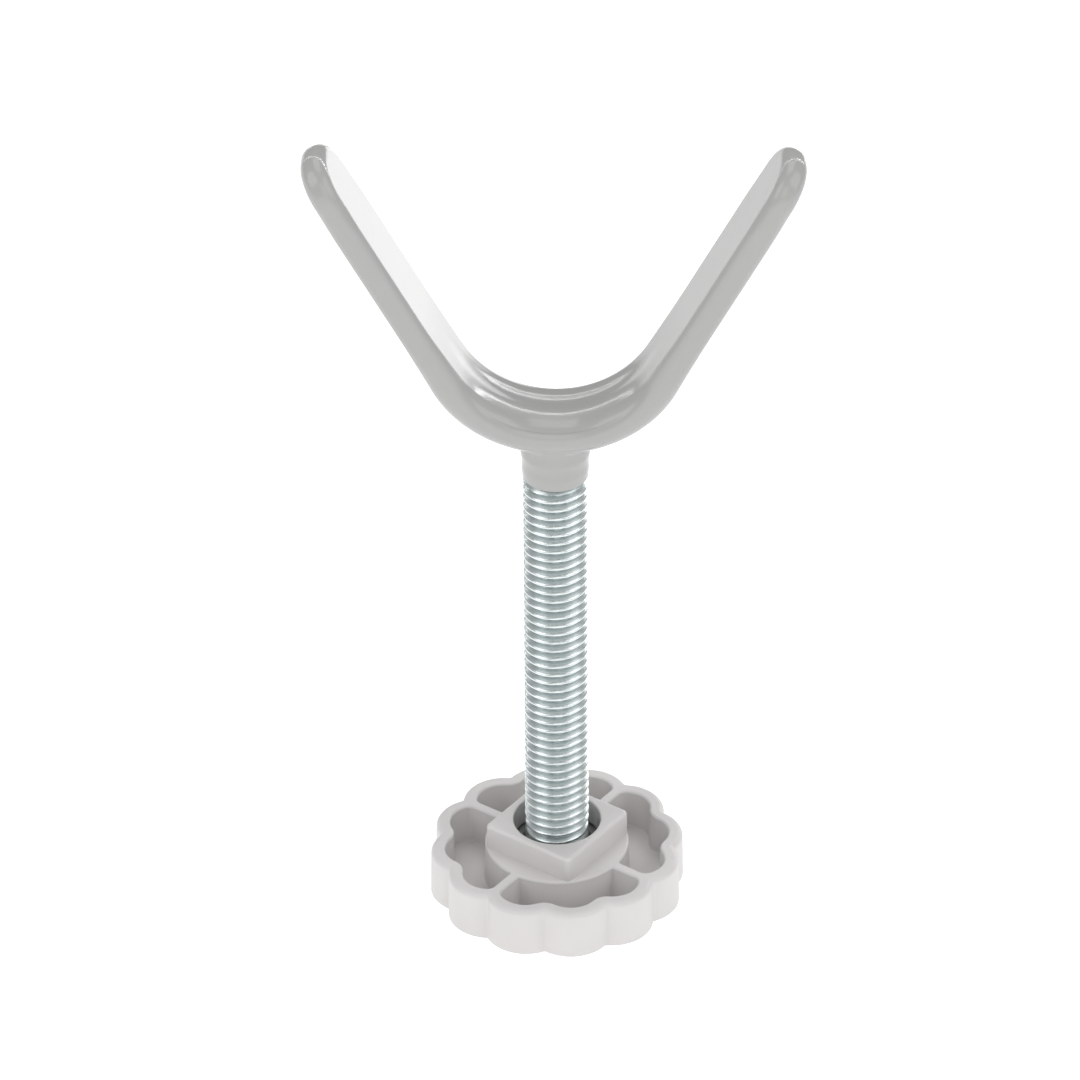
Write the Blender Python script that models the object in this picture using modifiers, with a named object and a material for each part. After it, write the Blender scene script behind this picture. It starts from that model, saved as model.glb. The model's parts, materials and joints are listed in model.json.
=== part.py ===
"""Fork stand: a coated steel fork welded on a threaded rod, standing in a scalloped hand wheel.

The origin is on the floor under the middle of the hand wheel, +Z runs up the rod and X is the way the
fork opens.  All sizes are in metres.

Sub-parts, as they come apart on a bench:
  fork_core      flat steel bar, bent to a round-bottomed V
  fork_coating   glossy moulded coat over the bar, with a short neck over the end of the rod
  threaded_rod   zinc-plated rod with a rolled thread, a turned-down shank and chamfered ends
  thread_bush    round metal bush, moulded into the wheel's hub, that runs on the thread
  hand_wheel     moulded wheel with twelve lobes, four pockets and a square boss
"""
import math

import bmesh
import bpy
import numpy as np
from mathutils import Matrix

# ---------------------------------------------------------------- driving dimensions, in metres
GAP = 0.0003                    # play left between two pieces that touch
MERGE = 0.00001                 # vertices closer than this are one vertex

# thread, metric M10 coarse
ROD_RADIUS = 0.00492            # over the crests
PITCH = 0.0015
THREAD_DEPTH = 0.00092
CREST_FLAT = PITCH / 5
ROD_FOOT = 0.0006               # the rod's end sits this far above the wheel's underside
THREAD_TOP = 0.0754
ROD_CHAMFER = 0.0007
SHANK_STEP = 0.0001             # the turned-down end is this much smaller than the thread's roots, each side
THREAD_SEGMENTS = 16

# fork: a flat bar that follows an arc and two straight arms
ARM_LEAN = math.radians(28.3)   # each arm, from vertical
BEND_RADIUS = 0.018             # of the bar's middle line
ARM_LENGTH = 0.0350             # straight run, from the bend to the middle of the round tip
BAR_WIDTH = 0.011
BAR_THICKNESS = 0.0025
BAR_EDGE = 0.0004
COAT_WALL = 0.00055             # on the arms
COAT_EDGE = 0.0013              # rounding of the coat's long edges, on the arms
BEND_THICKNESS = 0.0057         # over the coat, where it pooled in the bend
BEND_SIDE_FLAT = 0.0005         # straight part of the coat's side in the bend, between the rounded edges
SWELL_LENGTH = 0.011            # of arm over which the bend's thicker section runs out
BAR_CORNER_STEPS = 1
COAT_CORNER_STEPS = 3
BAR_STEPS = (8, 1, 6)           # sections in the bend, the swell and the round tip
COAT_STEPS = (10, 6, 8)

# neck of the coating, round the rod's shank
NECK_LENGTH = 0.00662           # from the neck's foot to the lowest point of the bend
NECK_WALL = 0.00075             # at the foot
NECK_FLARE = 0.0005             # the neck is this much wider at its top, each side
NECK_SINK = 0.0011              # the neck runs this far into the bend

# hand wheel
LOBES = 12
WHEEL_RADIUS = 0.01968          # over the lobes
LOBE_RADIUS = 0.00636
WHEEL_TURN = math.radians(9.9)  # of the first lobe, from +X
RIM_HEIGHT = 0.0080
RIM_EDGE = 0.0009
RIM_WALL = 0.0024
FLOOR_THICKNESS = 0.0015        # under the pockets
POCKETS = 4
RIB_THICKNESS = 0.0018
POCKET_CORNER = 0.0016
HUB_LIP = 0.00002               # of the hub's top, outside the boss's rounded corners
BOSS_WALL = 0.00136             # between the counterbore and the middle of a side
BOSS_RISE = 0.0041              # above the rim
BOSS_DRAFT = 0.0001             # the boss is this much narrower at its top, each side
BOSS_EDGE = 0.0005
FLOOR_PLAY = 0.00048            # round the rod, in the wheel's floor
OUTLINE_STEPS = 6               # of each lobe
POCKET_STEPS = 28
FOOT_ROUNDING = 0.35            # of the rim's foot, as a share of the rounding at its top
ROUNDING_SEGMENTS = 2

# thread bush
BUSH_WALL = 0.0020
BUSH_SHOWN = 0.00147            # ring of the bush's top that the counterbore leaves open
BUSH_FLOOR = 0.0016             # of the wheel under the bush's seat
BUSH_GROOVE = 0.0006            # depth of the locking groove
BUSH_GROOVE_WIDTH = 0.0010      # at its bottom, and half as much again for each sloping side
BUSH_CHAMFER = 0.0004
TURNED_SEGMENTS = 32

# ---------------------------------------------------------------- sizes that follow from them
COAT_ADDS = 2 * (GAP + COAT_WALL)
COAT_WIDTH = BAR_WIDTH + COAT_ADDS
COAT_THICKNESS = BAR_THICKNESS + COAT_ADDS
BEND_TURN = math.pi / 2 - ARM_LEAN
BEND_EDGE = (BEND_THICKNESS - BEND_SIDE_FLAT) / 2
NECK_FOOT = THREAD_TOP + GAP
BEND_FOOT = NECK_FOOT + NECK_LENGTH
BEND_HEIGHT = BEND_FOOT + BEND_THICKNESS / 2        # of the bar's middle line, at its lowest point
SHANK_RADIUS = ROD_RADIUS - THREAD_DEPTH - SHANK_STEP
NECK_BORE = SHANK_RADIUS + GAP
NECK_RADIUS = NECK_BORE + NECK_WALL                 # at the foot
BUSH_BORE = ROD_RADIUS + GAP
BUSH_RADIUS = BUSH_BORE + BUSH_WALL
BUSH_TOP = RIM_HEIGHT - GAP
BUSH_FOOT = BUSH_FLOOR + GAP
SEAT_RADIUS = BUSH_RADIUS + GAP
COUNTERBORE_RADIUS = BUSH_BORE + BUSH_SHOWN
BOSS_HALF_SIDE = COUNTERBORE_RADIUS + BOSS_WALL     # at the boss's foot
HUB_RADIUS = math.sqrt(2) * BOSS_HALF_SIDE - (math.sqrt(2) - 1) * BOSS_EDGE + HUB_LIP
BOSS_HEIGHT = RIM_HEIGHT + BOSS_RISE                # of its top, from the wheel's underside
FLOOR_BORE = ROD_RADIUS + FLOOR_PLAY


# ---------------------------------------------------------------- scene and helpers
def clear_scene():
    """Remove whatever the file was opened with."""
    for thing in list(bpy.data.objects):
        bpy.data.objects.remove(thing, do_unlink=True)


def new_collection(name):
    """A collection linked to the scene."""
    collection = bpy.data.collections.new(name)
    bpy.context.scene.collection.children.link(collection)
    return collection


def material(name, colour, roughness, metallic):
    """A plain Principled finish."""
    finish = bpy.data.materials.new(name)
    finish.use_nodes = True
    shader = finish.node_tree.nodes["Principled BSDF"]
    shader.inputs["Base Color"].default_value = (*colour, 1.0)
    shader.inputs["Roughness"].default_value = roughness
    shader.inputs["Metallic"].default_value = metallic
    return finish


def add_object(name, mesh, collection, finish=None):
    """Link a mesh as an object, with its finish."""
    thing = bpy.data.objects.new(name, mesh)
    collection.objects.link(thing)
    if finish:
        mesh.materials.append(finish)
    return thing


def mesh_from(name, bm):
    """Turn a bmesh into a mesh and free it."""
    mesh = bpy.data.meshes.new(name)
    bm.to_mesh(mesh)
    bm.free()
    return mesh


def as_cutter(thing):
    """A guide solid: it shapes other pieces and isn't one itself."""
    thing.hide_render = True
    thing.display_type = "WIRE"
    return thing


def boolean(thing, operation, other):
    """Cut, join or intersect a piece with another solid."""
    modifier = thing.modifiers.new(f"{operation.lower()} {other.name}", "BOOLEAN")
    modifier.operation = operation
    modifier.solver = "EXACT"
    modifier.object = other
    return modifier


def smooth(thing):
    """Shade round surfaces smooth and keep the hard edges."""
    thing.data.shade_smooth()
    thing.data.set_sharp_from_angle(angle=math.radians(35))


def screw(thing, steps, turns=1, rise=0.0):
    """Sweep the profile round Z, once for a turned piece or many times for a thread."""
    modifier = thing.modifiers.new("screw", "SCREW")
    modifier.axis = "Z"
    modifier.steps = steps
    modifier.render_steps = steps
    modifier.iterations = turns
    modifier.screw_offset = rise
    modifier.use_merge_vertices = True
    modifier.merge_threshold = MERGE
    return modifier


def profile_object(name, points, collection, finish=None):
    """A profile in the XZ plane, at +X, from top to bottom."""
    bm = bmesh.new()
    corners = [bm.verts.new((x, 0.0, z)) for x, z in points]
    for upper, lower in zip(corners, corners[1:]):
        bm.edges.new((upper, lower))
    return add_object(name, mesh_from(name, bm), collection, finish)


def turned(name, points, collection, finish=None, steps=TURNED_SEGMENTS):
    """A solid turned from a profile that starts and ends on the axis, or closes on itself."""
    thing = profile_object(name, points, collection, finish)
    screw(thing, steps)
    return thing


def flat_outline(name, points, low, high, collection, finish=None):
    """A flat outline in XY as a mesh with its caps, from one height to another."""
    curve = bpy.data.curves.new(name, "CURVE")
    curve.dimensions = "2D"
    curve.fill_mode = "BOTH"
    curve.extrude = (high - low) / 2
    spline = curve.splines.new("POLY")
    spline.points.add(len(points) - 1)
    for point, (x, y) in zip(spline.points, points):
        point.co = (x, y, 0.0, 1.0)
    spline.use_cyclic_u = True
    draft = bpy.data.objects.new(name + "_outline", curve)
    collection.objects.link(draft)
    draft.location.z = (low + high) / 2
    bpy.context.view_layer.update()
    evaluated = draft.evaluated_get(bpy.context.evaluated_depsgraph_get())
    bm = bmesh.new()
    bm.from_mesh(bpy.data.meshes.new_from_object(evaluated))
    bmesh.ops.transform(bm, matrix=draft.matrix_world, verts=bm.verts)
    bmesh.ops.remove_doubles(bm, verts=bm.verts, dist=MERGE)
    bmesh.ops.recalc_face_normals(bm, faces=bm.faces)
    bpy.data.objects.remove(draft, do_unlink=True)
    return add_object(name, mesh_from(name, bm), collection, finish)


# ---------------------------------------------------------------- the fork's bar and coat
def ease(share):
    """Smooth step from 0 to 1."""
    share = np.clip(share, 0.0, 1.0)
    return share * share * (3 - 2 * share)


def section_side(half_width, thickness, edge, corner_steps):
    """One side of a rounded bar section, as (distance out, height), from its top to its underside."""
    quarter = np.linspace(math.pi / 2, 0.0, corner_steps + 1)
    out = half_width - edge + edge * np.cos(quarter)
    height = thickness / 2 - edge + edge * np.sin(quarter)
    return np.concatenate([out, out[::-1]]), np.concatenate([height, -height[::-1]])


def half_bar(name, width, arm_section, bend_section, corner_steps, steps, collection, finish=None):
    """The +X half of a bent bar with a round tip, lofted from rounded sections and mirrored.

    arm_section and bend_section are (thickness, edge rounding), and the section changes from one to the
    other over the end of the bend and SWELL_LENGTH of the arm.  steps are the numbers of sections in the
    bend, the swell and the round tip.
    """
    bend_steps, swell_steps, tip_steps = steps
    half_width = width / 2
    bend_turns = np.linspace(0.0, BEND_TURN, bend_steps + 1)
    arm_runs = np.append(np.linspace(0.0, SWELL_LENGTH, swell_steps + 1)[1:], ARM_LENGTH)
    arm_runs = arm_runs[arm_runs <= ARM_LENGTH]
    stations = [(turn, 0.0, math.pi / 2) for turn in bend_turns]
    stations += [(BEND_TURN, run, math.pi / 2) for run in arm_runs]
    tip_swings = np.linspace(math.pi / 2, 0.0, tip_steps + 1)[1:]
    stations += [(BEND_TURN, ARM_LENGTH, swing) for swing in tip_swings]

    bm = bmesh.new()
    rings = []
    swell_start = BEND_RADIUS * BEND_TURN / 2
    swell_span = swell_start + SWELL_LENGTH
    for turn, run, swing in stations:
        along = np.array([math.cos(turn), 0.0, math.sin(turn)])
        inward = np.array([-math.sin(turn), 0.0, math.cos(turn)])
        middle = np.array([0.0, 0.0, BEND_HEIGHT + BEND_RADIUS]) - BEND_RADIUS * inward + run * along
        travelled = BEND_RADIUS * turn + run
        share = ease((travelled - swell_start) / swell_span)
        thickness = bend_section[0] + share * (arm_section[0] - bend_section[0])
        edge = bend_section[1] + share * (arm_section[1] - bend_section[1])
        out, height = section_side(half_width, thickness, edge, corner_steps)
        ring = []
        for side, order in ((1.0, slice(None)), (-1.0, slice(None, None, -1))):
            outward = np.array([0.0, side * math.sin(swing), 0.0]) + math.cos(swing) * along
            pairs = zip(out[order], height[order])
            ring += [bm.verts.new(middle + o * outward + h * inward) for o, h in pairs]
        rings.append(ring)
    for ring, following in zip(rings, rings[1:]):
        for i in range(len(ring)):
            j = (i + 1) % len(ring)
            bm.faces.new((ring[i], ring[j], following[j], following[i]))
    bmesh.ops.remove_doubles(bm, verts=bm.verts, dist=MERGE)
    bmesh.ops.dissolve_degenerate(bm, edges=bm.edges, dist=MERGE)
    bmesh.ops.recalc_face_normals(bm, faces=bm.faces)

    thing = add_object(name, mesh_from(name, bm), collection, finish)
    mirror = thing.modifiers.new("mirror", "MIRROR")
    mirror.use_axis = (True, False, False)
    mirror.merge_threshold = 0.0001
    smooth(thing)
    return thing


def make_fork_core(parts, finish):
    """The steel bar inside the coat: one flat section all along."""
    section = (BAR_THICKNESS, BAR_EDGE)
    return half_bar("fork_core", BAR_WIDTH, section, section, BAR_CORNER_STEPS, BAR_STEPS, parts, finish)


def make_fork_coating(parts, cutters, finish):
    """The coat: a skin round the bar that thickens in the bend, with a neck round the rod's shank."""
    arm = (COAT_THICKNESS, COAT_EDGE)
    bend = (BEND_THICKNESS, BEND_EDGE)
    coat = half_bar("fork_coating", COAT_WIDTH, arm, bend, COAT_CORNER_STEPS, COAT_STEPS, parts, finish)

    neck_top = BEND_FOOT + NECK_SINK
    neck_profile = [
        (0.0, neck_top),
        (NECK_RADIUS + NECK_FLARE, neck_top),
        (NECK_RADIUS, NECK_FOOT),
        (0.0, NECK_FOOT),
    ]
    boolean(coat, "UNION", as_cutter(turned("neck_guide", neck_profile, cutters)))

    section = (BAR_THICKNESS + 2 * GAP, BAR_EDGE + GAP)
    width = BAR_WIDTH + 2 * GAP
    hollow = half_bar("bar_hollow", width, section, section, BAR_CORNER_STEPS, BAR_STEPS, cutters)
    boolean(coat, "DIFFERENCE", as_cutter(hollow))

    bore_foot = NECK_FOOT - NECK_WALL
    bore_profile = [(0.0, BEND_HEIGHT), (NECK_BORE, BEND_HEIGHT), (NECK_BORE, bore_foot), (0.0, bore_foot)]
    boolean(coat, "DIFFERENCE", as_cutter(turned("neck_bore", bore_profile, cutters)))
    return coat


# ---------------------------------------------------------------- the threaded rod
def make_thread_guide(name, low, high, cutters):
    """A solid with the thread's surface on its side, longer than the rod at both ends.

    One pitch of the thread's outline is screwed up round Z, and each open end is drawn in to the axis.
    """
    root = ROD_RADIUS - THREAD_DEPTH
    turns = math.ceil((high - low) / PITCH) + 2
    foot = low - 1.5 * PITCH
    flank = (PITCH - CREST_FLAT) / 2
    outline = [
        (root, foot + PITCH),
        (ROD_RADIUS, foot + flank + CREST_FLAT),
        (ROD_RADIUS, foot + flank),
        (root, foot),
    ]
    thread = profile_object(name + "_outline", outline, cutters)
    screw(thread, THREAD_SEGMENTS, turns, PITCH)
    bpy.context.view_layer.update()
    evaluated = thread.evaluated_get(bpy.context.evaluated_depsgraph_get())
    bm = bmesh.new()
    bm.from_mesh(bpy.data.meshes.new_from_object(evaluated))
    bpy.data.objects.remove(thread, do_unlink=True)
    bmesh.ops.remove_doubles(bm, verts=bm.verts, dist=MERGE)

    open_edges = [edge for edge in bm.edges if edge.is_boundary]
    middle = foot + turns * PITCH / 2
    for height in (foot + PITCH / 2, foot + (turns + 0.5) * PITCH):
        above = height > middle
        loop = [edge for edge in open_edges if (edge.verts[0].co.z > middle) == above]
        drawn = bmesh.ops.extrude_edge_only(bm, edges=loop)["geom"]
        tip = [item for item in drawn if isinstance(item, bmesh.types.BMVert)]
        bmesh.ops.pointmerge(bm, verts=tip, merge_co=(0.0, 0.0, height))
    bmesh.ops.recalc_face_normals(bm, faces=bm.faces)
    return as_cutter(add_object(name, mesh_from(name, bm), cutters))


def make_threaded_rod(parts, cutters, finish):
    """A turned blank, with the thread cut into it where it is wider than the thread's roots."""
    shank_top = BEND_HEIGHT - BAR_THICKNESS / 2 - GAP
    blank = [
        (0.0, shank_top),
        (SHANK_RADIUS, shank_top),
        (SHANK_RADIUS, THREAD_TOP),
        (ROD_RADIUS - ROD_CHAMFER, THREAD_TOP),
        (ROD_RADIUS + MERGE, THREAD_TOP - ROD_CHAMFER),
        (ROD_RADIUS + MERGE, ROD_FOOT + ROD_CHAMFER),
        (ROD_RADIUS - ROD_CHAMFER, ROD_FOOT),
        (0.0, ROD_FOOT),
    ]
    rod = turned("threaded_rod", blank, parts, finish, steps=TURNED_SEGMENTS)
    boolean(rod, "INTERSECT", make_thread_guide("thread_guide", ROD_FOOT, shank_top, cutters))
    return rod


# ---------------------------------------------------------------- the hand wheel
def lobe_turn(index):
    """The direction of a lobe's middle."""
    return WHEEL_TURN + index * 2 * math.pi / LOBES


def wheel_outline():
    """Twelve arcs that meet in creases, as points round the wheel."""
    centre = WHEEL_RADIUS - LOBE_RADIUS
    half_gap = centre * math.sin(math.pi / LOBES)
    crease = centre * math.cos(math.pi / LOBES) + math.sqrt(LOBE_RADIUS**2 - half_gap**2)
    crease_x = crease * math.cos(math.pi / LOBES)
    crease_y = crease * math.sin(math.pi / LOBES)
    spread = math.atan2(crease_y, crease_x - centre)
    points = []
    for lobe in range(LOBES):
        turn = lobe_turn(lobe)
        for swing in np.linspace(-spread, spread, OUTLINE_STEPS + 1)[:-1]:
            x = centre * math.cos(turn) + LOBE_RADIUS * math.cos(turn + swing)
            y = centre * math.sin(turn) + LOBE_RADIUS * math.sin(turn + swing)
            points.append((x, y))
    return points


def rim_inside(turn):
    """The rim's inner radius in a direction: the outline moved in by the wall.

    Under a lobe it is the lobe's arc, smaller by the wall, and at a crease it is an arc of the wall's
    radius round the crease.
    """
    centre = WHEEL_RADIUS - LOBE_RADIUS
    step = 2 * math.pi / LOBES
    off_lobe = (turn - WHEEL_TURN + step / 2) % step - step / 2
    inner = LOBE_RADIUS - RIM_WALL
    across = centre * math.sin(off_lobe)
    from_lobe = centre * math.cos(off_lobe) + math.sqrt(max(inner**2 - across**2, 0.0))
    half_gap = centre * math.sin(step / 2)
    crease = centre * math.cos(step / 2) + math.sqrt(LOBE_RADIUS**2 - half_gap**2)
    off_crease = step / 2 - abs(off_lobe)
    across = crease * math.sin(off_crease)
    if across >= RIM_WALL:
        return from_lobe
    from_crease = crease * math.cos(off_crease) - math.sqrt(RIM_WALL**2 - across**2)
    return min(from_lobe, from_crease)


def pocket_outline(index):
    """A pocket between two ribs: the hub's round wall inside, the rim's waves outside."""
    middle = lobe_turn(index * LOBES // POCKETS)
    half = math.pi / POCKETS
    hub_half = half - math.asin(RIB_THICKNESS / 2 / HUB_RADIUS)
    inside = [(HUB_RADIUS, middle + turn) for turn in np.linspace(hub_half, -hub_half, POCKET_STEPS // 2)]
    reach = half - math.asin(RIB_THICKNESS / 2 / (WHEEL_RADIUS - LOBE_RADIUS))
    outside = []
    for turn in reach * np.sin(np.linspace(-math.pi / 2, math.pi / 2, POCKET_STEPS)):
        radius = rim_inside(middle + turn)
        from_rib = radius * math.sin(half - abs(turn)) - RIB_THICKNESS / 2
        short = max(POCKET_CORNER - max(from_rib, 0.0), 0.0)
        rounding = POCKET_CORNER - math.sqrt(POCKET_CORNER**2 - short**2)
        outside.append((radius - rounding, middle + turn))
    return [(radius * math.cos(turn), radius * math.sin(turn)) for radius, turn in inside + outside]


def round_rim(thing, low, high):
    """Round the outline's edges: fully at the top, a little at the foot."""
    weights = thing.data.attributes.new("bevel_weight_edge", "FLOAT", "EDGE")
    for edge in thing.data.edges:
        heights = [thing.data.vertices[i].co.z for i in edge.vertices]
        if min(heights) > high - MERGE:
            weights.data[edge.index].value = 1.0
        elif max(heights) < low + MERGE:
            weights.data[edge.index].value = FOOT_ROUNDING
    bevel = thing.modifiers.new("rounded rim", "BEVEL")
    bevel.limit_method = "WEIGHT"
    bevel.width = RIM_EDGE
    bevel.segments = ROUNDING_SEGMENTS


def make_boss(cutters):
    """The square boss, with a little draft and softened edges, its corners towards the pockets."""
    sunk = RIM_HEIGHT - FLOOR_THICKNESS
    bm = bmesh.new()
    turn = lobe_turn(0)
    place = Matrix.Translation((0.0, 0.0, (sunk + BOSS_HEIGHT) / 2)) @ Matrix.Rotation(turn, 4, "Z")
    bmesh.ops.create_cone(
        bm,
        cap_ends=True,
        segments=4,
        radius1=BOSS_HALF_SIDE * math.sqrt(2),
        radius2=(BOSS_HALF_SIDE - BOSS_DRAFT) * math.sqrt(2),
        depth=BOSS_HEIGHT - sunk,
        matrix=place,
    )
    boss = add_object("boss_guide", mesh_from("boss_guide", bm), cutters)
    bevel = boss.modifiers.new("softened edges", "BEVEL")
    bevel.width = BOSS_EDGE
    bevel.segments = ROUNDING_SEGMENTS
    return as_cutter(boss)


def make_hand_wheel(parts, cutters, finish):
    """The wheel: a scalloped disc, less its pockets, with the boss on its hub and the bush's seat inside."""
    wheel = flat_outline("hand_wheel", wheel_outline(), 0.0, RIM_HEIGHT, parts, finish)
    round_rim(wheel, 0.0, RIM_HEIGHT)
    for index in range(POCKETS):
        outline = pocket_outline(index)
        pocket = flat_outline(
            f"pocket_{index + 1}", outline, FLOOR_THICKNESS, RIM_HEIGHT + RIM_EDGE, cutters
        )
        boolean(wheel, "DIFFERENCE", as_cutter(pocket))
    boolean(wheel, "UNION", make_boss(cutters))
    seat = turned(
        "bush_seat",
        [
            (0.0, BOSS_HEIGHT + RIM_EDGE),
            (COUNTERBORE_RADIUS, BOSS_HEIGHT + RIM_EDGE),
            (COUNTERBORE_RADIUS, BUSH_TOP + GAP),
            (SEAT_RADIUS, BUSH_TOP + GAP),
            (SEAT_RADIUS, BUSH_FLOOR),
            (FLOOR_BORE, BUSH_FLOOR),
            (FLOOR_BORE, -RIM_EDGE),
            (0.0, -RIM_EDGE),
        ],
        cutters,
    )
    boolean(wheel, "DIFFERENCE", as_cutter(seat))
    return wheel


def make_thread_bush(parts, finish):
    """The bush: a chamfered ring with a locking groove round its middle."""
    middle = (BUSH_TOP + BUSH_FOOT) / 2
    groove = BUSH_GROOVE_WIDTH
    ring = [
        (BUSH_BORE + BUSH_CHAMFER, BUSH_TOP),
        (BUSH_RADIUS - BUSH_CHAMFER, BUSH_TOP),
        (BUSH_RADIUS, BUSH_TOP - BUSH_CHAMFER),
        (BUSH_RADIUS, middle + groove),
        (BUSH_RADIUS - BUSH_GROOVE, middle + groove / 2),
        (BUSH_RADIUS - BUSH_GROOVE, middle - groove / 2),
        (BUSH_RADIUS, middle - groove),
        (BUSH_RADIUS, BUSH_FOOT + BUSH_CHAMFER),
        (BUSH_RADIUS - BUSH_CHAMFER, BUSH_FOOT),
        (BUSH_BORE + BUSH_CHAMFER, BUSH_FOOT),
        (BUSH_BORE, BUSH_FOOT + BUSH_CHAMFER),
        (BUSH_BORE, BUSH_TOP - BUSH_CHAMFER),
        (BUSH_BORE + BUSH_CHAMFER, BUSH_TOP),
    ]
    return turned("thread_bush", ring, parts, finish)


# ---------------------------------------------------------------- the stand
def main():
    """Build every sub-part in its place."""
    clear_scene()
    parts = new_collection("fork_stand")
    cutters = new_collection("cutters")

    steel = material("bare_steel", (0.42, 0.42, 0.43), 0.45, 1.0)
    coat = material("glossy_coat", (0.62, 0.62, 0.60), 0.18, 0.0)
    zinc = material("zinc_plate", (0.66, 0.71, 0.73), 0.28, 1.0)
    brass = material("bush_metal", (0.50, 0.51, 0.50), 0.35, 1.0)
    moulded = material("moulded_plastic", (0.70, 0.69, 0.68), 0.45, 0.0)

    make_fork_core(parts, steel)
    make_fork_coating(parts, cutters, coat)
    make_threaded_rod(parts, cutters, zinc)
    make_thread_bush(parts, brass)
    make_hand_wheel(parts, cutters, moulded)


main()
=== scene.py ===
# %% [markdown]
# A coated steel fork on a threaded rod, standing in a scalloped hand wheel.
#
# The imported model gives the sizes, the places and the moving bodies.  This script gives the looks: each
# plain solid is stood in for by a finely worked surface in the same place, and each surface gets a finish
# made of shader nodes.  Everything is in metres, and every shape is a formula evaluated on a grid.

import json
import math

import bmesh
import bpy
import numpy as np
from mathutils import Matrix, Quaternion, Vector


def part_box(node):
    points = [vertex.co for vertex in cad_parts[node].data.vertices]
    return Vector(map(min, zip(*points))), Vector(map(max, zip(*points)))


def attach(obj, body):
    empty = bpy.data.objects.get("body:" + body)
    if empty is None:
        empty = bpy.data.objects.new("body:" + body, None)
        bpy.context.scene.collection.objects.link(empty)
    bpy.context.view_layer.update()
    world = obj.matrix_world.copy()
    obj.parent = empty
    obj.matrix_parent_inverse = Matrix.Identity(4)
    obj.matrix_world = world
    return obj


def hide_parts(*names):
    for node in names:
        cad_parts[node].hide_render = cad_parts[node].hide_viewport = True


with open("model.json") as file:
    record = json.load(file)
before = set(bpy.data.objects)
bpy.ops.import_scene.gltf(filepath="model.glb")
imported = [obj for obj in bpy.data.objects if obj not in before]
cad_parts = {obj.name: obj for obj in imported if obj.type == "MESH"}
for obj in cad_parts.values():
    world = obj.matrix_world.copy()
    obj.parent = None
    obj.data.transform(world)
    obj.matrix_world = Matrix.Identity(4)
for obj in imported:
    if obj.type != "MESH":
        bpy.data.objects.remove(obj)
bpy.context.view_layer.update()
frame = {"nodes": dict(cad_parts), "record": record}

coat_low, coat_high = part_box("fork_coating")
_, core_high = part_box("fork_core")
rod_low, rod_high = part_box("threaded_rod")
bush_low, bush_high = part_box("thread_bush")
_, wheel_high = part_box("hand_wheel")
print("fork from", round(coat_low.z, 4), "to", round(coat_high.z, 4))
print("fork reaches", round(coat_high.x, 4), "each way")
print("rod radius", round(rod_high.x, 5), "wheel height", round(wheel_high.z, 4))

# %% [markdown]
# A surface can be drawn by hand, swept by a modifier or worked out as numbers.  Numbers are chosen here: a
# shape is an array of rings, each ring an array of points, and one helper turns such an array into a mesh.
# It joins the last point of each ring to the first.  It closes the two end rings with a flat face each.
# Where an end ring has folded onto itself, or both end rings lie in one place, welding the points that
# coincide closes them instead.

# %% From rings of points to a mesh
WELD = 1e-7                         # points closer than this are one point


def ring_mesh(name, rings, flat_ends=False):
    """A closed mesh from rings[i, j], point j of ring i.

    Quad (i, j) joins points j and j + 1 of ring i to the same two points of ring i + 1, and j + 1 wraps
    round to 0.
    """
    count, around, _ = rings.shape
    index = np.arange(count * around).reshape(count, around)
    after = np.roll(index, -1, axis=1)
    quads = np.stack([index[:-1], after[:-1], after[1:], index[1:]], axis=-1).reshape(-1, 4)
    faces = quads.tolist()
    if flat_ends:
        faces += [index[0, ::-1].tolist(), index[-1].tolist()]
    mesh = bpy.data.meshes.new(name)
    mesh.from_pydata(rings.reshape(-1, 3), [], faces)
    bm = bmesh.new()
    bm.from_mesh(mesh)
    bmesh.ops.remove_doubles(bm, verts=bm.verts, dist=WELD)
    bmesh.ops.dissolve_degenerate(bm, edges=bm.edges, dist=WELD)
    bmesh.ops.recalc_face_normals(bm, faces=bm.faces)
    bm.to_mesh(mesh)
    bm.free()
    mesh.shade_smooth()
    return mesh


def link(name, mesh):
    """Put a mesh in the scene as an object at the origin."""
    thing = bpy.data.objects.new(name, mesh)
    bpy.context.scene.collection.objects.link(thing)
    return thing


# %% [markdown]
# Some pieces are joined from two shapes or have holes cut in them.  A Boolean does that exactly, and the
# shapes it used are thrown away afterwards.  The cut leaves long thin triangles beside broad faces, so the
# shading normals are weighted by face area, which keeps flat faces flat and rounded edges clean.

# %% Joining and cutting
SHARP_ANGLE = math.radians(40)      # an edge that turns by more is drawn sharp


def combined(name, base, steps):
    """Join or cut the base mesh with other meshes, in order, and return the finished object."""
    thing = link(name, base)
    used = []
    for operation, mesh in steps:
        tool = link(mesh.name + "_tool", mesh)
        used.append(tool)
        modifier = thing.modifiers.new(mesh.name, "BOOLEAN")
        modifier.operation = operation
        modifier.solver = "EXACT"
        modifier.object = tool
    bpy.context.view_layer.update()
    done = bpy.data.meshes.new_from_object(thing.evaluated_get(bpy.context.evaluated_depsgraph_get()))
    for tool in used:
        bpy.data.objects.remove(tool, do_unlink=True)
    thing.modifiers.clear()
    thing.data = done
    done.name = name
    done.shade_smooth()
    done.set_sharp_from_angle(angle=SHARP_ANGLE)
    weighted = thing.modifiers.new("weighted normals", "WEIGHTED_NORMAL")
    weighted.keep_sharp = True
    return thing


def report(thing):
    """Print a piece's size and how many faces it has."""
    points = np.empty(len(thing.data.vertices) * 3)
    thing.data.vertices.foreach_get("co", points)
    size = np.ptp(points.reshape(-1, 3), axis=0) * 1000
    print(f"{thing.name}: {len(thing.data.polygons)} faces, {size.round(2).tolist()} mm")


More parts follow.
